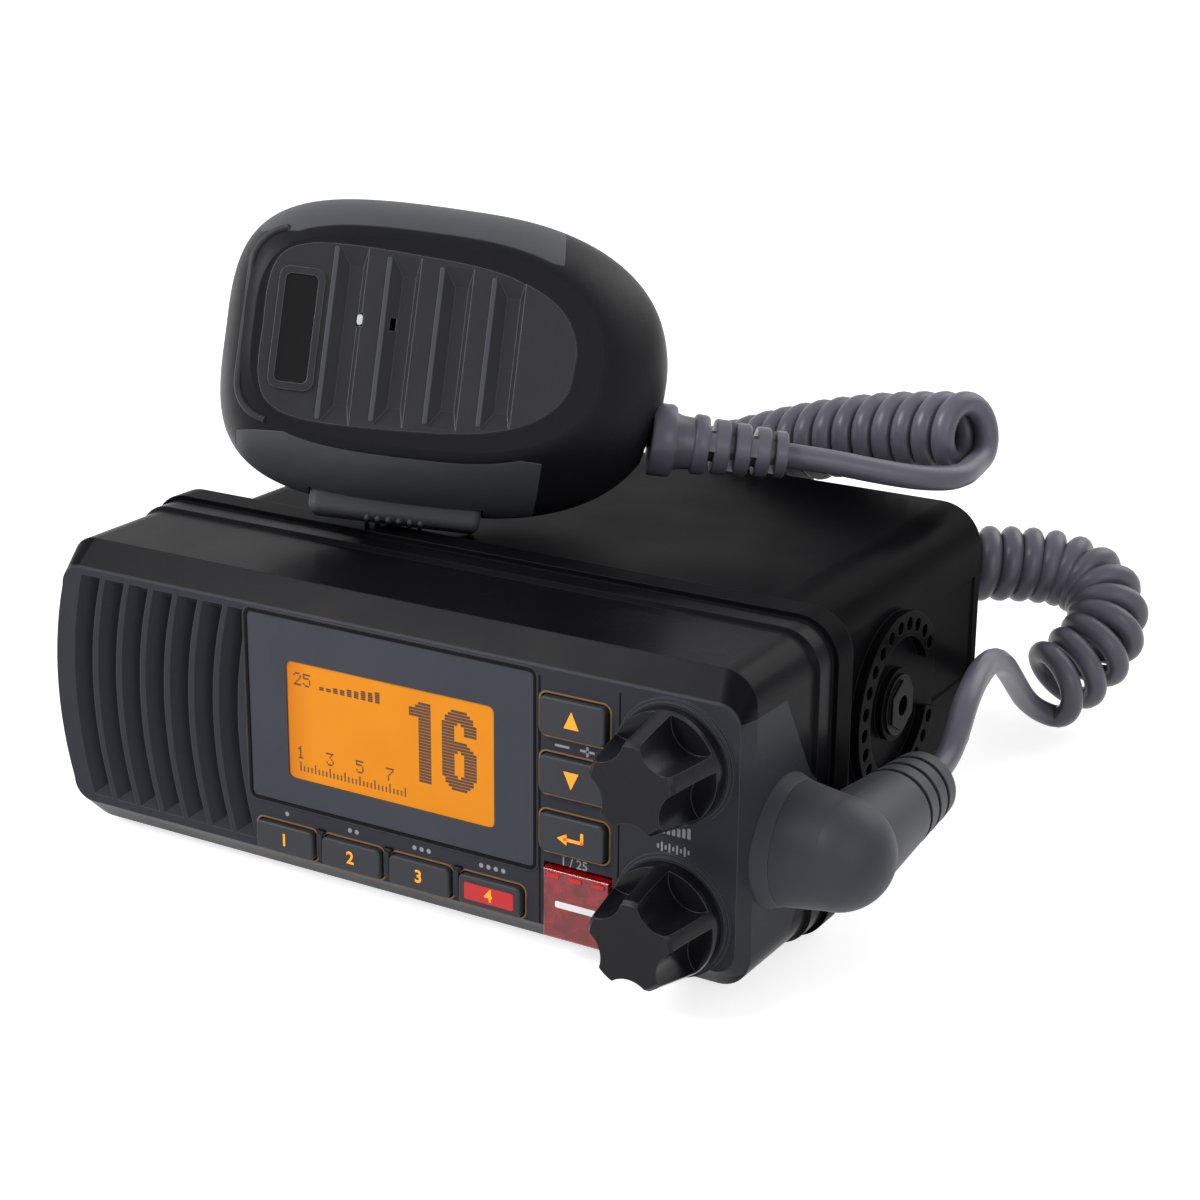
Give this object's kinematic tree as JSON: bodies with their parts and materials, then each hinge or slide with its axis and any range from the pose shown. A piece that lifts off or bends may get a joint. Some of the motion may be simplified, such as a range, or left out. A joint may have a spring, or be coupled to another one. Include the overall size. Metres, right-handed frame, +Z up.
{
  "type": "vhf marine radio",
  "caption": "Fixed-mount marine radio with louvred speaker front, amber display, keys, two knobs and a fist microphone on a coiled cord.",
  "frame": {"origin": "on the surface the radio stands on, under its middle rest rail, straight below the axis of the two bracket pivots", "axes": "+X to the radio's right seen from the front, +Y to its back, +Z up"},
  "size_m": [0.2106, 0.2395, 0.1488],
  "materials": {
    "bezel_plastic": "satin",
    "window_panel": "satin",
    "lcd_amber": "gloss",
    "red_clear": "gloss",
    "red_rubber": "satin",
    "knob_plastic": "satin",
    "gasket_rubber": "matte",
    "case_paint": "gloss",
    "cast_metal": "satin",
    "insert_metal": "satin",
    "steel": "satin",
    "plated_metal": "gloss",
    "plain_plastic": "matte",
    "boot_rubber": "matte",
    "cord_sheath": "satin",
    "paper_cone": "matte",
    "magnet_metal": "matte",
    "display_glass": "gloss",
    "white_plastic": "matte",
    "key_rubber": "matte",
    "board": "satin",
    "mic_plastic": "satin",
    "grip_rubber": "satin",
    "gloss_black": "gloss"
  },
  "bodies": {
    "radio": {"front_bezel": "bezel_plastic", "window_frame": "window_panel", "lcd_lens": "lcd_amber", "distress_hinge_pin": "steel", "bezel_gasket": "gasket_rubber", "rear_case": "case_paint", "heat_sink": "cast_metal", "pivot_insert_right": "insert_metal", "pivot_insert_left": "insert_metal", "flange_screws": "steel", "sink_screws": "steel", "antenna_socket": "plated_metal", "power_socket": "plain_plastic", "boot_collar": "boot_rubber", "cord_boot": "boot_rubber", "speaker_frame": "steel", "speaker_cone": "paper_cone", "speaker_magnet": "magnet_metal", "lcd_panel": "display_glass", "lcd_backlight": "white_plastic", "keypad_mat": "key_rubber", "front_board": "board", "volume_pot": "plated_metal", "squelch_pot": "plated_metal", "main_board": "board", "rf_shield": "plated_metal", "power_module": "plain_plastic", "ribbon_cable": "white_plastic", "board_screws": "steel", "cord_lead": "cord_sheath", "cord_coil_lower": "cord_sheath", "cord_coil_rear": "cord_sheath", "cord_coil_upper": "cord_sheath", "cord_tail": "cord_sheath"},
    "distress_lid": {"distress_cover": "red_clear"},
    "distress_push": {"distress_button": "red_rubber"},
    "volume": {"volume_knob": "knob_plastic", "volume_shaft": "steel"},
    "squelch": {"squelch_knob": "knob_plastic", "squelch_shaft": "steel"},
    "microphone": {"mic_front_shell": "mic_plastic", "mic_rear_shell": "mic_plastic", "mic_face_plate": "mic_plastic", "mic_badge": "gloss_black", "mic_grip_upper": "grip_rubber", "mic_grip_lower": "grip_rubber", "ptt_switch": "plain_plastic", "mic_board": "board", "mic_capsule": "plated_metal", "mic_hang_button": "plated_metal", "mic_relief": "boot_rubber", "mic_screws": "steel"},
    "talk_bar": {"ptt_bar": "grip_rubber"},
    "key_up_cap": {"key_up": "key_rubber"},
    "key_down_cap": {"key_down": "key_rubber"},
    "key_enter_cap": {"key_enter": "key_rubber"},
    "key_one_cap": {"key_one": "key_rubber"},
    "key_two_cap": {"key_two": "key_rubber"},
    "key_three_cap": {"key_three": "key_rubber"},
    "key_four_cap": {"key_four": "key_rubber"}
  },
  "joints": [
    {"name": "key_up_press", "type": "slide", "parent": "radio", "child": "key_up_cap", "axis": [0, 1, 0], "range_m": [0, 0.0012], "stiffness_N_per_m": 400},
    {"name": "key_down_press", "type": "slide", "parent": "radio", "child": "key_down_cap", "axis": [0, 1, 0], "range_m": [0, 0.0012], "stiffness_N_per_m": 400},
    {"name": "key_enter_press", "type": "slide", "parent": "radio", "child": "key_enter_cap", "axis": [0, 1, 0], "range_m": [0, 0.0012], "stiffness_N_per_m": 400},
    {"name": "key_one_press", "type": "slide", "parent": "radio", "child": "key_one_cap", "axis": [0, 1, 0], "range_m": [0, 0.0012], "stiffness_N_per_m": 400},
    {"name": "key_two_press", "type": "slide", "parent": "radio", "child": "key_two_cap", "axis": [0, 1, 0], "range_m": [0, 0.0012], "stiffness_N_per_m": 400},
    {"name": "key_three_press", "type": "slide", "parent": "radio", "child": "key_three_cap", "axis": [0, 1, 0], "range_m": [0, 0.0012], "stiffness_N_per_m": 400},
    {"name": "key_four_press", "type": "slide", "parent": "radio", "child": "key_four_cap", "axis": [0, 1, 0], "range_m": [0, 0.0012], "stiffness_N_per_m": 400},
    {"name": "distress_lid_hinge", "type": "hinge", "parent": "radio", "child": "distress_lid", "pos_m": [0.0521, -0.0894, 0.0205], "axis": [-1, 0, 0], "range_deg": [0, 100], "stiffness_Nm_per_rad": 0.004},
    {"name": "distress_press", "type": "slide", "parent": "radio", "child": "distress_push", "axis": [0, 1, 0], "range_m": [0, 0.0008], "stiffness_N_per_m": 400},
    {"name": "volume_turn", "type": "hinge", "parent": "radio", "child": "volume", "pos_m": [0.0751, -0.1, 0.05225], "axis": [0, -1, 0], "range_deg": [-150, 150]},
    {"name": "squelch_turn", "type": "hinge", "parent": "radio", "child": "squelch", "pos_m": [0.0751, -0.1, 0.018], "axis": [0, -1, 0], "range_deg": [-150, 150]},
    {"name": "microphone_lift", "type": "slide", "parent": "radio", "child": "microphone", "axis": [0, 0, 1], "range_m": [0, 0.03]},
    {"name": "talk_press", "type": "slide", "parent": "microphone", "child": "talk_bar", "axis": [-0.1055, 0.3819, 0.9182], "range_m": [0, 0.0015], "stiffness_N_per_m": 600}
  ]
}
